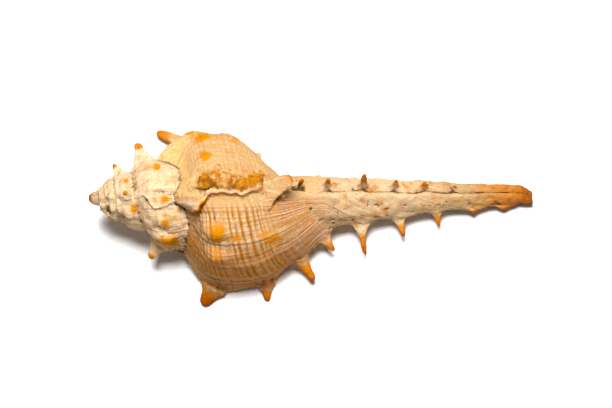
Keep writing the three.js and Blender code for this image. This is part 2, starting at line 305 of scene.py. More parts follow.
print("rib's share of its height on the ledge:", rib_profile(-1.01 / RIBS, 4.0).round(2))

# %% Points of the wall


def wall(turn, row):
    """Points of the wall at turns and rows."""
    turn, row = np.broadcast_arrays(np.asarray(turn, float), np.asarray(row, float))
    size = GROWTH ** turn
    bearing = LIP_BEARING - 360 * turn
    canal = np.clip(row - CANAL_ROW, 0, 1)
    whorl_row = np.minimum(row, CANAL_ROW)
    along, radius, height = outline(turn, whorl_row)
    number = nearest_rib(turn)[1]
    for rise, spot, spread in (LIP_FLARE, LIP_WAIST):
        height = height + (number == 0) * rise * bump(whorl_row - spot, spread)
    belly, belly_turn, turn_spread, belly_row, row_spread = BELLY
    belly = belly * bump(turn - belly_turn, turn_spread) * bump(whorl_row - belly_row, row_spread)
    radius = (radius + belly) * np.interp(turn, FAT_TURNS, FATNESS)
    rib = rib_profile(turn, row) * smooth(*RIB_TURNS, turn)
    whorl = size * (radius + rib * height + KNOB_HEIGHT * knob_profile(turn, row)) * (1 - canal)
    tip = LENGTH - TIP_SLANT * np.maximum(0, np.sin(np.radians(bearing)))
    along = size * along * (1 - canal) + tip * canal
    tube = np.interp(along, CANAL_PLACES, CANAL_RADII) + CANAL_RIB * rib * (1 - canal)
    near = np.maximum(BLEND - np.abs(whorl - tube), 0) / BLEND
    joined = np.maximum(whorl, tube) + near * near * BLEND / 4
    radius = np.where(row > NEXT_SEAM_ROW, joined, whorl)
    bearing = bearing + CANAL_TWIST * canal
    return place(along, radius + webs(turn, along, radius, bearing), bearing)


print("lip's shoulder reaches", wall(LIP_END, 3.0).round(2))

# %% [markdown]
# ## The wall as a rolled strip
# A grid is the unrolled strip of wall, with a column for each step of growth. It is added as a
# primitive, and each vertex is moved to its place on the spiral. The earlier turns stop a little
# below the seam, under the turn that covers them. The last turn runs on to the tip of the canal,
# and one more column goes from the lip back to the inner lip, which closes the face of the lip.

# %% Roll the spire
SPIRE_COLUMNS, SPIRE_ROWS, SPIRE_END_ROW = 1000, 60, 6.6


def deselect():
    bpy.ops.object.select_all(action="DESELECT")


def set_points(mesh, points):
    """Move a mesh's vertices to points."""
    mesh.vertices.foreach_set("co", np.asarray(points, np.float32).ravel())
    mesh.update()


def rolled_strip(name, points):
    """A grid primitive whose vertices are moved to points, one column after the other."""
    columns, rows = points.shape[:2]
    deselect()
    bpy.ops.mesh.primitive_grid_add(x_subdivisions=rows - 1, y_subdivisions=columns - 1, size=1)
    strip = bpy.context.object
    strip.name = name
    set_points(strip.data, points)
    return strip


spire_turns = np.linspace(FIRST_TURN, -1, SPIRE_COLUMNS)
spire_rows = np.linspace(SUNK_ROW, SPIRE_END_ROW, SPIRE_ROWS)
spire = rolled_strip("spire", wall(spire_turns[:, None], spire_rows[None, :]))
print("spire:", len(spire.data.vertices), "vertices")

# %% Roll the last turn
BODY_COLUMNS, BODY_ROWS, CANAL_STEPS = 420, 130, 190

body_turns = np.linspace(-1, LIP_END, BODY_COLUMNS)
whorl_rows = np.linspace(SUNK_ROW, CANAL_ROW, BODY_ROWS)
canal_rows = np.linspace(CANAL_ROW, TIP_ROW, CANAL_STEPS)[1:]
body_rows = np.concatenate([whorl_rows, canal_rows])
body_points = wall(body_turns[:, None], body_rows[None, :])
inner_rows = np.interp(body_rows, (SUNK_ROW, CANAL_ROW, TIP_ROW), (NEXT_SEAM_ROW, CANAL_ROW, TIP_ROW))
body_points = np.concatenate([body_points, wall(-1, inner_rows)[None]])
tip_centre = place(np.array(LENGTH - TIP_SLANT / 3), np.array(0.0), np.array(0.0))
tip_cap = np.broadcast_to(tip_centre, (len(body_points), 1, 3))
body = rolled_strip("body", np.concatenate([body_points, tip_cap], 1))
print("body:", len(body.data.vertices), "vertices")

# %% [markdown]
# ## The first shell
# The apex is the shell that the snail hatched with, a small bead worn smooth. The spiral could be
# carried on to a point, but its first turns are thinner than the remesh below can hold. A sphere,
# drawn out a little along the axis, covers the open start of the spiral instead.

# %% Apex
APEX_PLACE, APEX_RADIUS, APEX_STRETCH = (1.85, 0, 0), 1.75, (1.2, 0.95, 0.95)

deselect()
bpy.ops.mesh.primitive_uv_sphere_add(
    segments=32, ring_count=16, radius=APEX_RADIUS, location=APEX_PLACE
)
apex = bpy.context.object
apex.name = "apex"
bpy.ops.object.mode_set(mode="EDIT")
bpy.ops.transform.resize(value=APEX_STRETCH, center_override=APEX_PLACE)
bpy.ops.object.mode_set(mode="OBJECT")
bpy.ops.object.transform_apply(location=True, rotation=True, scale=True)
print("apex bead:", [round(x, 2) for x in apex.dimensions])

# %% [markdown]
# ## Spines
# A spine grows at the lip as a fold of the edge, so it is a horn with a groove along its front,
# and it is broad at its foot, where the edge runs into it. One horn is modelled: a disc is
# extruded ring by ring and drawn in, its front is pressed in, and Subdivision Surface rounds it.
# Each spine is then a copy with its own mesh, stretched from its foot on the wall to its tip.

# %% One horn
HORN_SIDES = 12
# Height as a share of the spine, and radius as a share of the foot's.
HORN_RINGS = ((0.10, 0.90), (0.28, 0.72), (0.5, 0.63), (0.74, 0.55), (0.92, 0.46), (1.0, 0.28))
# The groove's depth as a share of the radius, and how near a vertex is to the front, axis or ends.
HORN_GROOVE, HORN_NEAR = 0.75, 0.05

deselect()
bpy.ops.mesh.primitive_circle_add(vertices=HORN_SIDES, radius=1, fill_type="NGON")
horn = bpy.context.object
horn.name = "horn"
bpy.ops.object.mode_set(mode="EDIT")
bpy.ops.mesh.select_all(action="SELECT")
last_height, last_radius = 0, 1
for height, radius in HORN_RINGS:
    draw = radius / last_radius
    bpy.ops.mesh.extrude_region_move(TRANSFORM_OT_translate={"value": (0, 0, height - last_height)})
    bpy.ops.transform.resize(value=(draw, draw, 1), center_override=(0, 0, height))
    last_height, last_radius = height, radius
bpy.ops.mesh.select_all(action="SELECT")
bpy.ops.mesh.normals_make_consistent(inside=False)
bpy.ops.object.mode_set(mode="OBJECT")
for vertex in horn.data.vertices:
    across = Vector((vertex.co.x, vertex.co.y)).length
    front = across > HORN_NEAR and vertex.co.y < (HORN_NEAR - 1) * across
    if front and HORN_NEAR < vertex.co.z < 1 - HORN_NEAR:
        vertex.co.y += HORN_GROOVE * across
rounding = horn.modifiers.new("round", "SUBSURF")
rounding.levels = rounding.render_levels = 2
bpy.ops.object.modifier_apply(modifier=rounding.name)
horn_shape = np.array([vertex.co for vertex in horn.data.vertices])
print("horn:", len(horn_shape), "vertices")

# %% Copies of the horn
FOOT_DEPTH = 1.6  # how deep a spine is rooted in the wall
FOOT_FADE = 1.3  # height over which a broad foot narrows
WALL_SAMPLES = 400


def wall_radius(along, bearing):
    """Radius of the outside at a place, read off the outline of the turn with that bearing."""
    turn = (LIP_BEARING - bearing) / 360
    points = wall(turn, np.linspace(SEAM_ROW, TIP_ROW, WALL_SAMPLES))
    spot = np.argmin(np.abs(points[:, 0] - along))
    return math.hypot(points[spot, 1], points[spot, 2])


def set_horn(name, base, end, forward, half_across, half_forward, breadth):
    """A copy of the horn from its base on the wall to its end. Returns its axis and its width."""
    base, end = Vector(base), Vector(end)
    up = (end - base).normalized()
    root = base - FOOT_DEPTH * up
    across = Vector(forward).cross(up).normalized()
    forward = up.cross(across)
    above = horn_shape[:, 2] * (end - root).length - FOOT_DEPTH
    flare = 1 + (breadth - 1) * np.exp(-np.maximum(above, 0) / FOOT_FADE)
    points = np.outer(horn_shape[:, 0] * half_across * flare, across)
    points -= np.outer(horn_shape[:, 1] * half_forward, forward)
    points += np.outer(horn_shape[:, 2], end - root) + np.array(root)
    made = bpy.data.objects.new(name, horn.data.copy())
    bpy.context.collection.objects.link(made)
    set_points(made.data, points)
    return np.array(base), np.array(end), half_across


def growth_way(bearing):
    """The way the lip moves on as the shell grows, at a bearing."""
    angle = math.radians(bearing)
    return (0, -math.cos(angle), math.sin(angle))


print("wall's radius at the lip's first spine:", round(wall_radius(LIP_SPINES[0][0], LIP_BEARING), 2))

# %% Set the spines
FOOT_SHARE = 0.56  # half of a spine's foot, as a share of its width

spines = []
for number, size in enumerate(LIP_SPINES + BACK_SPINES + FAR_SPINES + SPIRE_SPINES):
    foot, tip, reach, width, bearing, breadth = size
    base = place(np.array(foot), np.array(wall_radius(foot, bearing)), bearing)
    end = place(np.array(tip), np.array(reach), bearing)
    half = FOOT_SHARE * width
    spines.append(set_horn(f"spine_{number}", base, end, growth_way(bearing), half, half, breadth))
print("spines:", len(spines))

# %% [markdown]
# ## The blade
# One spine on the back is a wide flap: the lip was half folded there, and the fold stands over
# the neck of the canal. It is the same horn, flat and broad, and a small hook lies beside it. At
# the other end, the lip runs back along the turn before as a thin strip.

# %% Blade, hook and tail
BLADE_BASE, BLADE_END = (37.2, 0.6, 12.1), (43.4, 4.5, 13.8)
BLADE_HALF, BLADE_THICKNESS, BLADE_BREADTH = 3.3, 0.6, 1.15
HOOK_BASE, HOOK_END = (40.9, -0.4, 9.6), (41.6, 0.6, 11.2)
HOOK_HALF, HOOK_THICKNESS = 0.8, 0.6
TAIL_BASE, TAIL_END, TAIL_HALF = (21.6, -12.2, -6.9), (15.6, -10.6, -6.0), 0.75
SMALL_BREADTH = 1.4
UPWARDS = (0, 0, 1)

blade = set_horn("blade", BLADE_BASE, BLADE_END, UPWARDS, BLADE_HALF, BLADE_THICKNESS, BLADE_BREADTH)
set_horn("hook", HOOK_BASE, HOOK_END, growth_way(0), HOOK_HALF, HOOK_THICKNESS, SMALL_BREADTH)
set_horn("tail", TAIL_BASE, TAIL_END, growth_way(LIP_BEARING), TAIL_HALF, TAIL_HALF, SMALL_BREADTH)
print("blade reaches", blade[1])

# %% [markdown]
# ## One piece
# Strip, bead and spines only overlap so far. A voxel remesh wraps them in one even skin, as the
# snail's mantle does when it lays shell over every joint, and rounds the corners between them.
# A boolean union would keep the strip's vertices, but it would leave a hard crease at each foot.

# %% Join and remesh
VOXEL = 0.28
SOFTENING, SOFTEN_STEPS = 0.5, 3
OVERLAPPING = ("spire", "body", "apex", "spine_", "blade", "hook", "tail")

deselect()
bpy.data.objects.remove(horn)
for piece in bpy.data.objects:
    if piece.type == "MESH" and piece.name.startswith(OVERLAPPING):
        piece.select_set(True)
bpy.context.view_layer.objects.active = body
bpy.ops.object.join()
shell = bpy.context.object
shell.name = "murex_shell"
skin = shell.modifiers.new("skin", "REMESH")
skin.mode = "VOXEL"
skin.voxel_size = VOXEL
bpy.ops.object.modifier_apply(modifier=skin.name)
soften = shell.modifiers.new("soften", "SMOOTH")
soften.factor, soften.iterations = SOFTENING, SOFTEN_STEPS
bpy.ops.object.modifier_apply(modifier=soften.name)
print("remeshed:", len(shell.data.vertices), "vertices")

# %% Keep the outer skin
# The remesh also wraps the closed spaces inside. What isn't linked to the canal's tip is deleted.
bpy.ops.object.mode_set(mode="EDIT")
bpy.ops.mesh.select_all(action="DESELECT")
bpy.ops.object.mode_set(mode="OBJECT")
max(shell.data.vertices, key=lambda vertex: vertex.co.x).select = True
bpy.ops.object.mode_set(mode="EDIT")
bpy.ops.mesh.select_linked()
bpy.ops.mesh.select_all(action="INVERT")
bpy.ops.mesh.delete(type="VERT")
bpy.ops.object.mode_set(mode="OBJECT")


def measure(piece):
    """Volume of a mesh in its own units, and its number of triangles."""
    mesh = bmesh.new()
    mesh.from_mesh(piece.data)
    volume = mesh.calc_volume()
    mesh.free()
    return round(volume, 1), sum(len(face.vertices) - 2 for face in piece.data.polygons)


print("outer skin: volume and triangles", measure(shell))

# %% [markdown]
# ## The aperture
# The snail lived in the hollow behind the lip. A plain bowl would do from outside, but the hollow
# is deep enough to look into. So it is made as the shell grew, only backwards: an oval in the
# plane of the lip is extruded, turned about the axis and shrunk towards the apex, again and again.
# A boolean then takes it out of the shell.

# %% The oval
# In the plane of the lip: centre and half sizes along the axis and across it, and lean in radians.
HOLLOW_CENTRE, HOLLOW_HALF, HOLLOW_LEAN = (32.4, 11.6), (8.8, 4.9), -0.16
HOLLOW_SIDES, HOLLOW_STEPS = 48, 44
HOLLOW_TURNS = (0.05, -0.85)

turn_step = (HOLLOW_TURNS[1] - HOLLOW_TURNS[0]) / HOLLOW_STEPS
angles = np.linspace(0, 2 * math.pi, HOLLOW_SIDES, endpoint=False)
cosine, sine = math.cos(HOLLOW_LEAN), math.sin(HOLLOW_LEAN)
lean = np.array([(cosine, sine), (-sine, cosine)])
oval = np.stack([HOLLOW_HALF[0] * np.cos(angles), HOLLOW_HALF[1] * np.sin(angles)], 1) @ lean
oval = GROWTH ** HOLLOW_TURNS[0] * (oval + HOLLOW_CENTRE)

deselect()
bpy.ops.mesh.primitive_circle_add(vertices=HOLLOW_SIDES, radius=1, fill_type="NGON")
hollow = bpy.context.object
hollow.name = "hollow"
set_points(hollow.data, place(oval[:, 0], oval[:, 1], LIP_BEARING - 360 * HOLLOW_TURNS[0]))
print("oval:", np.ptp(oval, axis=0).round(2), "mm")

# %% Extrude it back along the spiral
# At each step the oval also narrows a little, towards a pivot beside its centre.
HOLLOW_TAPER, HOLLOW_PIVOT = 0.976, 5.0

shrink = GROWTH ** turn_step
bpy.ops.object.mode_set(mode="EDIT")
bpy.ops.mesh.select_all(action="SELECT")
for made in range(1, HOLLOW_STEPS + 1):
    at_turn = HOLLOW_TURNS[0] + made * turn_step
    pivot = GROWTH ** at_turn * (np.array(HOLLOW_CENTRE) + (HOLLOW_PIVOT, 0))
    pivot = place(*pivot, LIP_BEARING - 360 * at_turn)
    bpy.ops.mesh.extrude_region_move()
    bpy.ops.transform.rotate(
        value=math.radians(-360 * turn_step), orient_axis="X", center_override=(0, 0, 0)
    )
    bpy.ops.transform.resize(value=(shrink, shrink, shrink), center_override=(0, 0, 0))
    bpy.ops.transform.resize(value=(HOLLOW_TAPER, HOLLOW_TAPER, HOLLOW_TAPER), center_override=pivot)
bpy.ops.mesh.select_all(action="SELECT")
bpy.ops.mesh.normals_make_consistent(inside=False)
bpy.ops.object.mode_set(mode="OBJECT")
inner_end = np.array([vertex.co for vertex in hollow.data.vertices])[-HOLLOW_SIDES:].mean(0)
print("hollow ends at", inner_end.round(2))

# %% The slit of the canal
# The canal is a tube that stays open along a narrow slit, on the side of the aperture.
SLIT_SPAN, SLIT_WIDTH, SLIT_REACH, SLIT_BEARING = (38, 100), 0.9, (0.4, 9), -136

deselect()
bpy.ops.mesh.primitive_cube_add(size=1)
slit = bpy.context.object
slit.name = "slit"
corners = np.array([vertex.co for vertex in slit.data.vertices]) + 0.5
slit_along = np.interp(corners[:, 0], (0, 1), SLIT_SPAN)
slit_side = (corners[:, 1] - 0.5) * SLIT_WIDTH
slit_reach = np.interp(corners[:, 2], (0, 1), SLIT_REACH)
angle = math.radians(SLIT_BEARING)
slit_across = slit_reach * math.sin(angle) + slit_side * math.cos(angle) + CANAL_BEND / 2
slit_up = slit_reach * math.cos(angle) - slit_side * math.sin(angle)
set_points(slit.data, np.stack([slit_along, slit_across, slit_up], 1))
bpy.ops.object.mode_set(mode="EDIT")
bpy.ops.mesh.select_all(action="SELECT")
bpy.ops.mesh.normals_make_consistent(inside=False)
bpy.ops.object.mode_set(mode="OBJECT")
print("slit blade:", [round(x, 1) for x in slit.dimensions], "mm")

# %% Cut both out
for tool in (hollow, slit):
    cut = shell.modifiers.new(tool.name, "BOOLEAN")
    cut.operation = "DIFFERENCE"
    cut.solver = "MANIFOLD"
    cut.object = tool
    deselect()
    shell.select_set(True)
    bpy.context.view_layer.objects.active = shell
    bpy.ops.object.modifier_apply(modifier=cut.name)
    bpy.data.objects.remove(tool)
print("cut: volume and triangles", measure(shell))

# %% [markdown]
# ## Relief
# The wall has fine spiral cords, growth lines across them, and the pits and lumps of years on a
# beach. A Displace modifier could make them from a texture, but they follow the growth of the
# shell. So each vertex is moved a little along its normal, by its turn and row, which are worked
# back from its place on the spiral.

# %% Turn and row of each vertex
CANAL_START = 50
EARLY_TURN, RAMP_TURN = -2, -0.25  # a turn that has no ramp, and one that has nearly all of it
MOST_TURNS, ROW_SAMPLES = 5, 200


def bearing_turn(points):
    """The turn between -1 and 0 that has the bearing of each point."""
    along, across, up = points.T
    bend = CANAL_BEND * smooth(*CANAL_BEND_SPAN, along)
    twist = CANAL_TWIST * np.clip((along - CANAL_START) / (LENGTH - CANAL_START), 0, 1)
    turn = (LIP_BEARING - np.degrees(np.arctan2(across - bend, up)) + twist) / 360
    return turn - np.ceil(turn)


def wall_numbers(points):
    """Turn and row of the wall at each point."""
    along = points[:, 0]
    turn = bearing_turn(points)
    for _ in range(MOST_TURNS):
        start = GROWTH ** turn * outline(turn, np.full_like(turn, SEAM_ROW))[0]
        turn = np.where(along < start, turn - 1, turn)
    size = GROWTH ** turn
    rows = np.linspace(SEAM_ROW, CANAL_ROW, ROW_SAMPLES)
    plain = np.interp(along / size, outline(EARLY_TURN, rows)[0], rows)
    ramped = np.interp(along / size, outline(RAMP_TURN, rows)[0], rows)
    row = plain + (ramped - plain) * np.interp(turn, RAMP_TURNS, RAMP_SHARES)
    whorl_end = size * OUTLINE[-1, 0]
    return turn, row + np.clip((along - whorl_end) / (LENGTH - whorl_end), 0, 1)


def vertex_array(mesh, what):
    """The places or normals of a mesh's vertices."""
    values = np.empty(len(mesh.vertices) * 3, np.float32)
    mesh.vertices.foreach_get(what, values)
    return values.reshape(-1, 3).astype(float)


points = vertex_array(shell.data, "co")
turn, row = wall_numbers(points)
past, number = nearest_rib(turn)
phase = turn * RIBS - np.floor(turn * RIBS)
size = GROWTH ** turn
on_back_rib = number == -1
on_last = turn > -1 / RIBS
print("turns from", turn.min().round(2), "and rows to", row.max().round(2))

# %% Growth lines
# A growth line is where the lip once was. It sweeps back on the ramp and slants on the canal.
RAMP_SWEEP, RAMP_END_ROW, CANAL_SLANT = 0.08, 3, 0.05

growth = turn * RIBS - RAMP_SWEEP * np.clip(1 - row / RAMP_END_ROW, 0, 1) ** 2
growth = growth - CANAL_SLANT * np.maximum(points[:, 0] - CANAL_START, 0)
print("growth lines lag by up to", (turn * RIBS - growth).max().round(2), "of the ribs' spacing")

# %% The inside
INSIDE_MARGIN = 1.04

radius = np.hypot(points[:, 1], points[:, 2])
inside = np.zeros(len(points))
for later in (0, 1):
    hollow_turn = bearing_turn(points) + later
    hollow_size = GROWTH ** hollow_turn
    taper = HOLLOW_TAPER ** ((hollow_turn - HOLLOW_TURNS[0]) / turn_step)
    offset = np.stack([points[:, 0] / hollow_size, radius / hollow_size], 1) - HOLLOW_CENTRE
    offset[:, 0] -= HOLLOW_PIVOT * (1 - taper)
    local = offset @ lean.T / HOLLOW_HALF / taper[:, None]
    on_oval = np.hypot(local[:, 0], local[:, 1]) < INSIDE_MARGIN
    inside = np.maximum(inside, on_oval & (hollow_turn < HOLLOW_TURNS[0]))
print("inside:", int(inside.sum()), "vertices")

# %% Spine tips
# Where the orange starts on each group's spines, as a share of their length, and how deep it gets.
TIP_STARTS = (
    (LIP_SPINES[:1], -0.3, 1.5), (LIP_SPINES[1:], 0.1, 1.0), (BACK_SPINES, 0.2, 0.8),
    (FAR_SPINES[:1], 0.45, 0.6), (FAR_SPINES[1:], 0.5, 0.0), (SPIRE_SPINES, 0.6, 0.7),
)
# How far round a spine, in half widths, and along it, in lengths, a vertex still belongs to it.
SPINE_AROUND, SPINE_ALONG = 1.3, 1.2
# The blade's tip is paler. Its vertices are above a height and before a place along the axis.
BLADE_TIP, BLADE_TIP_SPAN = 0.35, (0.72, 1.0)
BLADE_FLOOR, BLADE_FRONT = 11.4, 46


def share_along(base, end):
    """How far each vertex is along a spine: 0 at its foot and 1 at its tip."""
    return (points - base) @ (end - base) / np.sum((end - base) ** 2)


starts = [group[1:] for group in TIP_STARTS for _ in group[0]]
tip = np.zeros(len(points))
for (base, end, half), (start, most) in zip(spines, starts):
    share = share_along(base, end)
    off = np.linalg.norm(points - base - share[:, None] * (end - base), axis=1)
    near = (off < SPINE_AROUND * half) & (share > 0) & (share < SPINE_ALONG)
    tip = np.where(near, np.maximum(tip, most * (share - start) / (1 - start)), tip)
on_blade = (points[:, 0] > BLADE_BASE[0]) & (points[:, 0] < BLADE_FRONT) & (points[:, 2] > BLADE_FLOOR)
tip = np.maximum(tip, BLADE_TIP * smooth(*BLADE_TIP_SPAN, share_along(*blade[:2])) * on_blade)
print("spine tips:", int((tip > 0).sum()), "vertices")

# %% Random waves and clouds
WAVE_CELLS, CLOUD_CELLS = 4096, 64


def wander(x, seed):
    """A smooth random wave of x, between -1 and 1."""
    values = np.random.default_rng(seed).uniform(-1, 1, WAVE_CELLS)
    cell = np.floor(x).astype(int)
    part = smooth(0, 1, x - cell)
    return values[cell % WAVE_CELLS] * (1 - part) + values[(cell + 1) % WAVE_CELLS] * part


def cloud(size, seed):
    """A random value between -1 and 1 for each vertex, smooth over about size millimetres."""
    values = np.random.default_rng(seed).uniform(-1, 1, (CLOUD_CELLS,) * 3)
    cell = np.floor(points / size).astype(int)
    part = smooth(0, 1, points / size - cell)
    total = np.zeros(len(points))
    for corner in np.ndindex(2, 2, 2):
        weight = np.prod(np.where(corner, part, 1 - part), axis=1)
        total += weight * values[tuple(((cell + corner) % CLOUD_CELLS).T)]
    return total


def clouds(layers):
    """Clouds on top of each other, each with its height, size and seed."""
    return sum(height * cloud(size, seed) for height, size, seed in layers)


def band(start, end, x):
    """1 between two eased steps: up over the start and down over the end."""
    return smooth(*start, x) * (1 - smooth(*end, x))


RAGGED = ((0.35, 1.2, 11), (0.3, 0.5, 12))
ragged = 1 + clouds(RAGGED)
print("spots are drawn", ragged.min().round(2), "to", ragged.max().round(2), "times as small")

# %% Heads and knobs on the back
# A spot has a place across the back in millimetres, half length and half width, and strength.
# The heads are the rough ends of the ribs. The knobs swell the wall under their orange spots.
HEADS = ((25.8, 3.3, 2.1, 1.7, 1.0), (36.3, 3.7, 1.3, 1.4, 0.9), (16.4, -0.2, 1.6, 1.2, 0.5))
SWOLLEN_KNOBS = (
    (27.4, -7.2, 2.2, 2.0, 1.0), (38.0, -8.0, 2.6, 1.3, 0.5), (26.8, -12.4, 1.8, 2.2, 0.5),
    (16.5, -5.0, 1.5, 1.5, 0.8), (17.2, -9.0, 2.4, 1.4, 0.9), (8.0, 3.6, 0.8, 0.8, 0.4),
    (9.6, -2.4, 0.9, 0.9, 0.5), (24.8, 8.8, 1.6, 1.5, 0.4), (24.0, 12.6, 2.2, 1.3, 0.4),
)
HEAD_HEIGHT, KNOB_SWELL = 1.1, 0.8
BACK_FADE = (-8, -4)  # heights over which spots fade on their way to the underside


def spots(places):
    """How strongly each vertex is inside one of the spots, seen from the back of the shell."""
    share = np.zeros(len(points))
    for x, y, length, width, strength in places:
        off = np.hypot((points[:, 0] - x) / length, (points[:, 1] - y) / width) * ragged
        share = np.maximum(share, strength * bump(off, 1.0) * smooth(*BACK_FADE, points[:, 2]))
    return share


heads = spots(HEADS)
swellings = HEAD_HEIGHT * heads + KNOB_SWELL * spots(SWOLLEN_KNOBS)
print("swellings to", swellings.max().round(2), "mm")

# %% Old lips and the crest
WHORL_END = (6.6, 8.6)  # rows
SPIRE_END = (-1.15, -0.9)  # turns
SCOOPED_RIBS = (-1, -4)
# The pale edge of an old lip: its width by rows, how sharply it ends, and where it gets fainter.
EDGE_ROWS, EDGE_WIDTHS, EDGE_END = (1.4, 2.4), (0.075, 0.026), (-0.01, 0.005)
EDGE_FADE, FAINTER = (2.6, 3.4), 0.5
CREST_PLACES = (-0.27, -0.10), (-0.05, -0.02)
CREST_ROWS = (2.1, 2.8), (5.7, 6.6)

whorl = 1 - smooth(*WHORL_END, row)
spire_share = 1 - smooth(*SPIRE_END, turn)
reach = old_lip(number, row)
edge_width = np.interp(row, EDGE_ROWS, EDGE_WIDTHS)
pale = np.isin(number, SCOOPED_RIBS) * (row < LEDGE_END[0])
pale = pale * smooth(reach - 2 * edge_width, reach - edge_width, past)
pale = pale * (1 - smooth(reach + EDGE_END[0], reach + EDGE_END[1], past))
pale = pale * (1 - FAINTER * smooth(*EDGE_FADE, row))
crest = on_back_rib * band(*CREST_PLACES, past) * band(*CREST_ROWS, row)
print("old lips:", int((pale > 0.5).sum()), "vertices, crest:", int((crest > 0.5).sum()))

# %% Cords, ridges and growth lines
# Cords in a row of the outline, their height at the lip's size, where they start, how much they
# sway, the rows between two sways, and how much they differ.
CORDS, CORD_HEIGHT, CORD_START = 3.0, 0.08, (1.4, 3)
CORD_SWAY, CORD_SWAYS, CORD_VARIETY = 0.4, 2.2, 0.8
# Two rests of growth on the last turn: phases, height, half width, rows where they start, and
# the width on both sides that gets less dirt and painted shade.
RIDGE_PHASES, RIDGE_HEIGHT, RIDGE_SPREAD = (0.315, 0.51), 0.16, 0.02
RIDGE_START, RIDGE_DIRT_AND_SHADE_SPREAD = (0.5, 1.2), 0.06
# Fine lines to a rib's spacing, and broader ones, which are fewer.
STRIAE, STRIA_HEIGHT = 46, 0.06
BROAD_STRIAE, BROAD_HEIGHT = STRIAE / 3, 0.7 * STRIA_HEIGHT
TIP_FADE = (0.05, 0.3)

line = CORDS * row + CORD_SWAY * wander(CORD_SWAYS * row, 9)
cords = np.cos(2 * math.pi * line) * (1 + CORD_VARIETY * wander(line, 10))
cords = CORD_HEIGHT * size * cords * whorl * smooth(*CORD_START, row)
ridge_off = [phase - spot + (turn * RIBS - growth) for spot in RIDGE_PHASES]
ridge_share = on_last * smooth(*RIDGE_START, row) * whorl
ridges = ridge_share * sum(bump(off, RIDGE_SPREAD) for off in ridge_off)
near_ridge = ridge_share * np.minimum(sum(bump(off, RIDGE_DIRT_AND_SHADE_SPREAD) for off in ridge_off), 1)
striae = STRIA_HEIGHT * wander(growth * STRIAE, 1) + BROAD_HEIGHT * wander(growth * BROAD_STRIAE, 2)
lines = (cords + RIDGE_HEIGHT * ridges + striae) * (1 - smooth(*TIP_FADE, tip)) * (1 - pale)
print("lines to", np.abs(lines).max().round(2), "mm")

# %% Wear
# Clouds of lumps: height and size in millimetres, and seed.
LUMPS = ((0.12, 2.6, 3), (0.06, 1.1, 4))
SPIRE_LUMPS = ((0.28, 2.2, 5), (0.16, 1.0, 6))
CREST_LUMPS = ((0.30, 1.6, 7), (0.14, 0.8, 8))
CANAL_LUMPS = ((0.26, 1.8, 14),)
# Small knobs on the early turns: number in a turn, height at the lip's size, turns, row, spread.
EARLY_KNOBS, EARLY_HEIGHT = 9, 2.6
EARLY_END, EARLY_ROW, EARLY_SPREAD = (-2.4, -1.7), 2.6, 0.8
# Pits of the canal: depth, size and seed of their cloud, and how much of it they take.
PIT_DEPTH, PITS, PIT_SHARE = 0.28, (0.8, 15), (0.4, 0.8)
# The crease along the canal: bearing and its sway in degrees, length of a sway, depth, spread.
CREASE_BEARING, CREASE_SWAY, CREASE_LENGTH = 12, 5, 4
CREASE_DEPTH, CREASE_SPREAD = 0.5, 6
CANAL_ROWS = (8.3, 9.1)

early = (1 - smooth(*EARLY_END, turn)) * bump(row - EARLY_ROW, EARLY_SPREAD)
early_knobs = EARLY_HEIGHT * size * early * np.cos(math.pi * EARLY_KNOBS * turn) ** 4
on_canal = smooth(*CANAL_ROWS, row)
bearing = np.degrees(np.arctan2(points[:, 1] - CANAL_BEND * on_canal, points[:, 2]))
crease = CREASE_BEARING + CREASE_SWAY * wander(points[:, 0] / CREASE_LENGTH, 13)
canal_wear = clouds(CANAL_LUMPS) - PIT_DEPTH * smooth(*PIT_SHARE, cloud(*PITS))
canal_wear = on_canal * (canal_wear - CREASE_DEPTH * bump(bearing - crease, CREASE_SPREAD))
rough = np.maximum(crest, heads) * clouds(CREST_LUMPS)
wear = clouds(LUMPS) + spire_share * clouds(SPIRE_LUMPS) + early_knobs + canal_wear + rough
print("wear to", np.abs(wear).max().round(2), "mm")

# %% Move the vertices
move = (lines + wear + swellings) * (1 - inside)
points += move[:, None] * vertex_array(shell.data, "normal")
set_points(shell.data, points)
print("largest move:", np.abs(move).max().round(2), "mm")

# %% [markdown]
# ## Colour masks
# Most colours follow what happened to the shell. Pigment lies in the spiral grooves and on knobs,
# spine tips and the crest of the back rib. Old lips are white, the spire is worn pale, and dirt
# and painted shade lie in the hollows, with wear and a painted highlight on bulging edges. The ramp
# is painted lighter, and the side by the lip browner and darker with painted shade. They could be
# painted by hand, but the turn and row of each vertex already say where they are. Each becomes a
# value on the vertices that the material reads.

# %% Hollows
# Hollows are darkened with dirt and painted shade; bulging edges get wear and a painted highlight.
LEVELLING = 10

edges = np.empty(len(shell.data.edges) * 2, np.int32)
shell.data.edges.foreach_get("vertices", edges)
edges = edges.reshape(-1, 2)


def neighbour_mean(values):
    """Mean of each vertex's neighbours."""
    count = np.bincount(edges.ravel(), minlength=len(values))
    total = np.bincount(edges[:, 0], values[edges[:, 1]], len(values))
    total += np.bincount(edges[:, 1], values[edges[:, 0]], len(values))
    return total / np.maximum(count, 1)


level = points.copy()
for _ in range(LEVELLING):
    level = np.stack([neighbour_mean(level[:, axis]) for axis in range(3)], 1)
depth = np.clip(np.sum((level - points) * vertex_array(shell.data, "normal"), 1), -1, 1)
print("hollows to", depth.max().round(2), "mm deep")

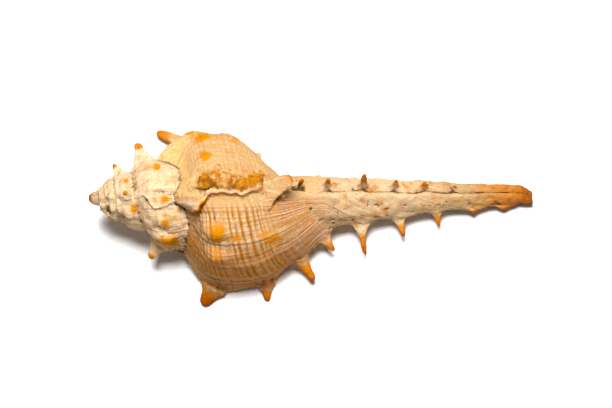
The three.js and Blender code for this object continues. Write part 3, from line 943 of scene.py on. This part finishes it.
# %% Stains and soil
# Spots, as for the knobs.
STAINS = (
    (27.4, -7.4, 1.6, 1.9, 1.0), (31.2, -8.6, 2.4, 0.9, 0.45), (38.0, -8.2, 2.6, 1.3, 0.55),
    (26.8, -12.6, 1.3, 2.6, 0.38), (24.0, 12.9, 1.6, 0.9, 1.0), (24.8, 8.8, 1.0, 0.9, 0.95),
    (20.8, 14.2, 0.9, 0.7, 1.0), (31.0, 12.2, 1.2, 0.6, 0.35), (14.4, 6.6, 0.8, 0.8, 0.8),
    (16.6, -5.4, 0.7, 0.9, 0.95), (17.0, -9.2, 2.0, 0.9, 1.0), (16.4, -0.2, 1.2, 0.8, 0.7),
    (12.3, 12.8, 2.2, 0.5, 0.4), (8.0, 3.6, 0.6, 0.7, 0.7), (9.6, -2.4, 0.7, 0.8, 0.9),
)
SOIL = (
    (27.8, 6.2, 1.4, 0.7, 0.9), (30.4, 6.0, 0.9, 0.6, 0.8), (23.6, 5.8, 0.8, 0.8, 0.6),
    (25.4, 1.8, 1.4, 0.5, 0.9), (9.8, -2.2, 0.4, 0.5, 1.0), (18.3, -10.9, 1.6, 0.4, 0.9),
    (37.2, 1.0, 0.7, 1.2, 0.7),
)
CREST_STRENGTH, HEAD_STRENGTH = 0.9, 1.5

stain, soil = spots(STAINS), spots(SOIL)
crest_stain = np.maximum(CREST_STRENGTH * crest, HEAD_STRENGTH * heads * (turn > -1))
print("stained:", int((stain > 0.5).sum()), "vertices")

# %% Less dirt and painted shade near edges, and the orange rim
# In front of the back rib and beside the ridges less dirt and painted shade lie: share, place and spread.
FOOT_DIRT_AND_SHADE_CUT, FOOT_PLACE, FOOT_SPREAD, FOOT_ROW = 0.75, 0.03, 0.04, 2.6
RIDGE_DIRT_AND_SHADE_CUT, RIDGE_PALE = 0.85, 0.25
# The rim's place behind the edge, its half widths up to RIM_ROW and after it, and its fading.
RIM_PLACE, RIM_WIDTHS, RIM_ROW, RIM_FADE = 0.012, (0.02, 0.015), 3, (2.6, 3.0)

foot = bump(past - reach - FOOT_PLACE, FOOT_SPREAD) * on_back_rib * (row > FOOT_ROW)
depth = depth * (1 - FOOT_DIRT_AND_SHADE_CUT * foot) * (1 - RIDGE_DIRT_AND_SHADE_CUT * near_ridge)
pale = np.maximum(pale, RIDGE_PALE * ridges)
rim = bump(past - reach + RIM_PLACE, np.where(row < RIM_ROW, *RIM_WIDTHS))
rim = rim * on_back_rib * (row > SEAM_ROW) * (row < LEDGE_END[0])
rim = rim * (1 - FAINTER * smooth(*RIM_FADE, row))
print("rim:", int((rim > 0.5).sum()), "vertices")

# %% Regions of the wall
# Steps along the axis are in millimetres, and the others are in phases or rows.
NECK_END = (44, 60)
UNDER_PHASES, UNDER_ROWS, UNDER_LOW = (0.28, 0.5), (5.8, 7.6), 0.7
CANAL_PALE = (42, 58), (62, 84)
LINED_PHASES, LINED_ROWS = ((0.02, 0.12), (0.68, 0.82)), ((0.3, 1.6), (5.4, 6.8))
LINED_BEFORE = 0.1  # strength of the lines before the last rib
NECK_ROWS, NECK_PHASES = (5.4, 7.0), (0.72, 0.84)
LIP_PLACES, LIP_LAST_ROW = (-0.06, -0.03), 8.6
LIP_SEAM, LIP_SEAM_ROW, LIP_SEAM_SPREAD, LIP_SEAM_PHASES = 0.7, 0.9, 0.5, (0.6, 0.7)
RAMP_ROWS, RAMP_FIRST_TURN = (1.2, 3.0), -0.62
RUST_TIP, RUST_APEX = (72, 94), (0.0, 1.1)

along = points[:, 0]
near_neck = on_last * (1 - smooth(*NECK_END, along))
# Darker towards the lip near the neck: painted shade on the side away from the lamp, over a browner tone.
under = np.maximum(smooth(*UNDER_PHASES, turn * RIBS + 1), UNDER_LOW * smooth(*UNDER_ROWS, row)) * near_neck
canal = band(*CANAL_PALE, along)
lined = band(*LINED_PHASES, phase) * band(*LINED_ROWS, row)
lined = lined * np.where(on_last, 1.0, LINED_BEFORE) * (1 - spire_share)
neck = np.maximum(smooth(*NECK_ROWS, row), smooth(*NECK_PHASES, phase)) * near_neck
lip = (number == 0) * smooth(*LIP_PLACES, past) * (row < LIP_LAST_ROW)
lip_seam = LIP_SEAM * bump(row - LIP_SEAM_ROW, LIP_SEAM_SPREAD) * smooth(*LIP_SEAM_PHASES, phase)
lip = np.maximum(lip, lip_seam * on_last)
# The ramp is painted lighter: painted light on a slope that faces away from the lamp.
ramp = (1 - smooth(*RAMP_ROWS, row)) * (turn > RAMP_FIRST_TURN) * (turn < -1 / RIBS)
rust = np.maximum(smooth(*RUST_TIP, along), 1 - smooth(*RUST_APEX, along))
print("lined:", int((lined > 0.5).sum()), "vertices")

# %% Write the masks
values = {
    "line": line, "growth": growth, "under": under, "canal": canal, "lined": lined,
    "crest": crest_stain, "stain": stain, "soil": soil, "pale": pale, "rim": rim, "tip": tip,
    "rust": rust, "spire": spire_share, "neck": neck, "ramp": ramp, "lip": lip, "hollow": depth,
    "inside": inside,
}
for name, value in values.items():
    layer = shell.data.attributes.new(name, "FLOAT", "POINT")
    layer.data.foreach_set("value", np.asarray(value, np.float32))
print("masks:", ", ".join(values))

# %% [markdown]
# ## Into the frame
# The shell was made upright on its own axis, in millimetres. It lies rolled and tipped on the
# lip, the whorl and the canal's tip, so its mesh is turned and scaled into the frame, and the
# object itself stays at the origin. What would sink into the floor is worn flat.

# %% Place it in the frame
ROLL, PITCH = 3.3, 7.7  # degrees
AXIS_START = (-47.1058, 3.5859, 14.4401)  # the apex, in millimetres
MILLIMETRE = 0.001

lie = Euler((math.radians(ROLL), 0, 0)).to_matrix()
lie = Euler((0, math.radians(PITCH), 0)).to_matrix() @ lie
to_frame = Matrix.Scale(MILLIMETRE, 4) @ Matrix.Translation(AXIS_START) @ lie.to_4x4()
shell.data.transform(to_frame)
points = vertex_array(shell.data, "co")
print("sinks", (-points[:, 2].min() / MILLIMETRE).round(2), "mm into the floor before it is worn flat")
points[:, 2] = np.maximum(points[:, 2], 0)
set_points(shell.data, points)
deselect()
shell.select_set(True)
bpy.context.view_layer.objects.active = shell
bpy.ops.object.shade_smooth()
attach(shell, "root")
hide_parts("shell")

# %% [markdown]
# ## The finish
# Shell is chalky and dull outside, and smooth and glossier inside. The finish could be an image
# wrapped round the shell, but noise nodes stay sharp at any size and need no picture. The
# material lays its colours one over the other, from the cream of the wall to the dirt and painted
# shade in the hollows, each by one of the masks with noise on its edge. Some layers are painted
# light and shade: the lighter ramp, the darker side by the lip and the paler bulging edges.

# %% Sums on sockets


class Wire:
    """An output socket of a material. Sums of wires and numbers add Math nodes."""

    tree = None

    def __init__(self, socket):
        self.socket = socket

    @classmethod
    def node(cls, kind, settings, inputs, output=0):
        made = cls.tree.nodes.new(kind)
        for name, value in settings.items():
            setattr(made, name, value)
        for name, value in inputs.items():
            if isinstance(value, Wire):
                cls.tree.links.new(value.socket, made.inputs[name])
            else:
                made.inputs[name].default_value = value
        return cls(made.outputs[output])

    @classmethod
    def math(cls, operation, first, second=0.0):
        return cls.node("ShaderNodeMath", {"operation": operation}, {0: first, 1: second})

    def __add__(self, other):
        return self.math("ADD", self, other)

    def __sub__(self, other):
        return self.math("SUBTRACT", self, other)

    def __rsub__(self, other):
        return self.math("SUBTRACT", other, self)

    def __mul__(self, other):
        return self.math("MULTIPLY", self, other)

    __radd__ = __add__
    __rmul__ = __mul__


finish = bpy.data.materials.new("weathered_shell")
finish.use_nodes = True
Wire.tree = finish.node_tree
shader = finish.node_tree.nodes["Principled BSDF"]
print("finish starts with", len(Wire.tree.nodes), "nodes")

# %% Noise, steps and layers
position = Wire.node("ShaderNodeTexCoord", {}, {}, "Object")


def grain(scale, detail=3.0):
    """Noise over the shell, with lumps of about 1 / scale metres."""
    return Wire.node("ShaderNodeTexNoise", {}, {"Vector": position, "Scale": scale, "Detail": detail})


def streaks(along, scale, detail=2.0):
    """Noise along one value only, which gives lines across it."""
    sockets = {"W": along, "Scale": scale, "Detail": detail}
    return Wire.node("ShaderNodeTexNoise", {"noise_dimensions": "1D"}, sockets)


def step(low, high, value):
    """0 below low, 1 above high, eased between."""
    limits = {"Value": value, "From Min": low, "From Max": high}
    return Wire.node("ShaderNodeMapRange", {"interpolation_type": "SMOOTHSTEP"}, limits)


def layered(colour, *layers):
    """A colour with others over it, each with the share of it that shows."""
    for tint, share in layers:
        sockets = {0: share, 6: colour, 7: tint}
        colour = Wire.node("ShaderNodeMix", {"data_type": "RGBA"}, sockets, 2)
    return colour


mask = {name: Wire.node("ShaderNodeAttribute", {"attribute_name": name}, {}, "Fac") for name in values}
blotch, patch, speck, fine = grain(180), grain(420, 4.0), grain(900), grain(2400)
patchy, speckled = patch - 0.5, speck - 0.5
print("masks read:", len(mask))

# %% Spiral grooves and growth lines
stria = streaks(mask["growth"] + 0.012 * patch, 42)
growth_line = step(0.50, 0.60, stria)
growth_wear = streaks(mask["growth"] + 0.03 * patch, 70)
groove = Wire.math("COSINE", (mask["line"] + 0.4 * speckled) * (2 * math.pi) + math.pi)
cord_strength = step(0.36, 0.6, streaks(mask["line"], 0.55))
dash_place = Wire.node("ShaderNodeCombineXYZ", {}, {"X": mask["line"], "Y": mask["growth"] * 5.0})
dashes = Wire.node("ShaderNodeTexNoise", {}, {"Vector": dash_place, "Scale": 1.0, "Detail": 2.0})
pigment = mask["lined"] * step(-0.4, 0.6, groove) * step(0.38, 0.52, dashes)
pigment = pigment * (0.35 + 0.65 * cord_strength)
print("lines use", len(Wire.tree.nodes), "nodes so far")

# %% Colours of the wall
CREAM = (0.43, 0.275, 0.122, 1)
TAN = (0.40, 0.205, 0.078, 1)
PALE = (0.64, 0.49, 0.32, 1)
PAINTED_LIGHT = (0.72, 0.455, 0.19, 1)
CELL = (0.56, 0.38, 0.275, 1)
OCHRE = (0.29, 0.10, 0.004, 1)
BUFF = (0.35, 0.13, 0.024, 1)
BROWN = (0.09, 0.034, 0.009, 1)

spire_cords = step(0.45, 0.62, streaks(mask["line"] + 0.2 * patch, 3.0))
cells = mask["lined"] * step(0.5, -0.6, groove) * (1 - 0.6 * growth_line) * (0.1 + 0.9 * patch)
growth_tint = growth_line * (0.15 + 0.2 * mask["lined"] + 0.35 * (blotch - 0.5))
colour = layered(
    CREAM,
    (TAN, step(0.42, 0.72, blotch) * 0.5),
    (TAN, step(0.52, 0.7, speck) * 0.4),
    # Painted shade and a browner tone on the side of the last turn that faces away from the lamp.
    (BUFF, mask["under"] * (0.4 + 1.2 * (patch - 0.1))),
    (PALE, mask["canal"] * (0.2 + 0.7 * blotch)),
    (OCHRE, mask["canal"] * step(0.56, 0.68, patch) * 0.6),
    (PALE, mask["spire"] * step(0.3, 0.55, patch) * 0.9),
    (TAN, mask["spire"] * spire_cords * 0.4),
    # Painted light: the ramp's slope faces away from the lamp and is lightened.
    (PAINTED_LIGHT, mask["ramp"] * (0.4 + 0.7 * patch)),
    (CELL, cells * (1 - 0.75 * mask["under"])),
    (BUFF, growth_tint),
    (BROWN, mask["neck"] * step(0.50, 0.64, growth_wear) * 0.4),
    (CELL, mask["neck"] * step(0.50, 0.36, growth_wear) * 0.6),
    (OCHRE, mask["canal"] * step(0.52, 0.66, growth_wear) * 0.35),
    (CREAM, mask["lip"] * (0.4 + 0.6 * patch)),
    (PALE, step(0.56, 0.68, grain(1500)) * 0.3),
    # Painted highlight and wear: bulging edges are paler.
    (PALE, step(-0.08, -0.3, mask["hollow"]) * 0.35),
    (OCHRE, pigment),
)
print("wall uses", len(Wire.tree.nodes), "nodes so far")

# %% Crest, stains and soil
AMBER = (0.46, 0.165, 0.002, 1)
ORANGE = (0.45, 0.132, 0.002, 1)

crest_noise = 0.5 * patch + 0.5 * speck + 0.3 * (mask["crest"] - 0.5)
crest_spots = step(0.48, 0.68, crest_noise) * step(0.0, 0.5, mask["crest"])
head_noise = speck + 0.3 * (mask["crest"] - 0.8)
head_spots = step(0.48, 0.68, head_noise) * step(0.5, 1.2, mask["crest"])
stained = mask["stain"] + 0.9 * patchy + 0.5 * speckled
freckles = step(0.50, 0.62, grain(1700)) * step(0.1, 0.7, mask["soil"])
colour = layered(
    colour,
    (OCHRE, crest_spots),
    (AMBER, step(0.5, 1.2, mask["crest"] + 0.8 * patchy) * 0.35),
    (BROWN, head_spots * 0.75),
    (AMBER, step(0.0, 0.6, stained) * step(0.0, 0.2, mask["stain"])),
    (ORANGE, step(0.7, 1.2, stained) * 0.7),
    (BROWN, freckles * 0.7),
)
print("stains use", len(Wire.tree.nodes), "nodes so far")

# %% Edges, tips, dirt and painted shade
DEEP = (0.24, 0.042, 0.001, 1)
NACRE = (0.60, 0.42, 0.28, 1)
SHADE_AND_DIRT = (0.035, 0.015, 0.005, 1)

colour = layered(
    colour,
    (PALE, mask["pale"] * (0.6 + 0.6 * (speck - 0.4))),
    (ORANGE, step(0.25, 0.6, mask["rim"])),
    (ORANGE, step(0.0, 0.3, mask["tip"] + 0.4 * patchy) * 0.95),
    (DEEP, step(0.2, 0.95, mask["tip"] + 1.2 * patchy) * 0.85),
    (ORANGE, step(0.15, 0.9, mask["rust"] + 0.7 * patchy) * 0.75),
    (DEEP, step(0.8, 1.1, mask["rust"] + 0.5 * speckled) * 0.8),
    (BROWN, step(0.60, 0.72, speck) * mask["spire"] * 0.25),
    (AMBER, step(0.52, 0.66, fine) * 0.4),
    (AMBER, step(0.48, 0.68, patch) * (0.25 - 0.2 * mask["spire"])),
    (NACRE, mask["inside"]),
    # Dirt and painted shade: hollows are darkened, less so on the pale old lips.
    (SHADE_AND_DIRT, step(0.06, 0.26, mask["hollow"]) * (0.9 - 0.5 * mask["pale"])),
)
print("colours use", len(Wire.tree.nodes), "nodes")

# %% Gloss and fine relief
# Weathered shell has no sheen of its own, so the specular level is 0. The inside has a thin coat.
RELIEF_DEPTH = 0.0004

height = 0.5 * stria + 0.3 * fine + 0.3 * speck
feeds = {
    "Base Color": colour,
    "Roughness": 0.5 + 0.25 * fine - 0.3 * mask["inside"],
    "Coat Weight": 0.3 * mask["inside"],
    "Normal": Wire.node("ShaderNodeBump", {}, {"Height": height, "Strength": 1.0, "Distance": RELIEF_DEPTH}),
}
for name, wire in feeds.items():
    Wire.tree.links.new(wire.socket, shader.inputs[name])
shader.inputs["Specular IOR Level"].default_value = 0.0
shell.data.materials.clear()
shell.data.materials.append(finish)
print("finish:", len(Wire.tree.nodes), "nodes")

# %% [markdown]
# ## Floor, light and camera
# The shell lies on a plain white floor. One soft lamp stands high behind it, so the side of the
# lip falls into shade and the cords show. A ring of lamps would flatten them. The camera looks
# straight down on the shell's axis, from far away through a long lens, as in the photograph.

# %% Floor
FLOOR_SIZE, FLOOR_WHITE, FLOOR_ROUGHNESS = 4, (0.94, 0.94, 0.94, 1), 0.9

deselect()
bpy.ops.mesh.primitive_plane_add(size=FLOOR_SIZE, location=(0, 0, 0))
floor = bpy.context.object
floor.name = "floor"
floor_finish = bpy.data.materials.new("floor_white")
floor_finish.use_nodes = True
floor_shader = floor_finish.node_tree.nodes["Principled BSDF"]
floor_shader.inputs["Base Color"].default_value = FLOOR_WHITE
floor_shader.inputs["Roughness"].default_value = FLOOR_ROUGHNESS
floor.data.materials.append(floor_finish)
print("floor:", FLOOR_SIZE, "m wide")

# %% Light
WORLD_WHITE, WORLD_STRENGTH = (1, 1, 1, 1), 0.1
LAMP_PLACE, LAMP_TARGET = Vector((0.06, 0.25, 0.73)), Vector((0, 0, 0.01))
LAMP_SIZE, LAMP_WATTS = 0.24, 13.6

world = bpy.data.worlds.new("studio")
bpy.context.scene.world = world
world.use_nodes = True
sky = world.node_tree.nodes["Background"]
sky.inputs["Color"].default_value = WORLD_WHITE
sky.inputs["Strength"].default_value = WORLD_STRENGTH
lamp_data = bpy.data.lights.new("key", "AREA")
lamp_data.size, lamp_data.energy = LAMP_SIZE, LAMP_WATTS
lamp = bpy.data.objects.new("key", lamp_data)
bpy.context.collection.objects.link(lamp)
lamp.location = LAMP_PLACE
lamp.rotation_euler = (LAMP_TARGET - LAMP_PLACE).to_track_quat("-Z", "Y").to_euler()
print("lamp:", round((LAMP_TARGET - LAMP_PLACE).length, 2), "m away")

# %% Camera
# The photograph's scale and width, and the place on the axis and across it that is in its middle.
PIXELS_PER_MM, IMAGE_WIDTH, VIEW_CENTRE = 4.69, 612, (46.06, -1.28)
LENS, SENSOR = 250, 36
FARTHEST = 10

distance = LENS * (IMAGE_WIDTH / PIXELS_PER_MM) / SENSOR
camera_data = bpy.data.cameras.new("camera")
camera_data.lens, camera_data.sensor_width = LENS, SENSOR
camera_data.clip_end = FARTHEST
camera = bpy.data.objects.new("camera", camera_data)
bpy.context.collection.objects.link(camera)
camera_place = to_frame @ Vector((*VIEW_CENTRE, distance))
camera.matrix_world = Matrix.Translation(camera_place) @ lie.to_4x4()
bpy.context.scene.camera = camera
bpy.context.scene.view_settings.view_transform = "Standard"
print("camera:", round(distance * MILLIMETRE, 2), "m from the axis")
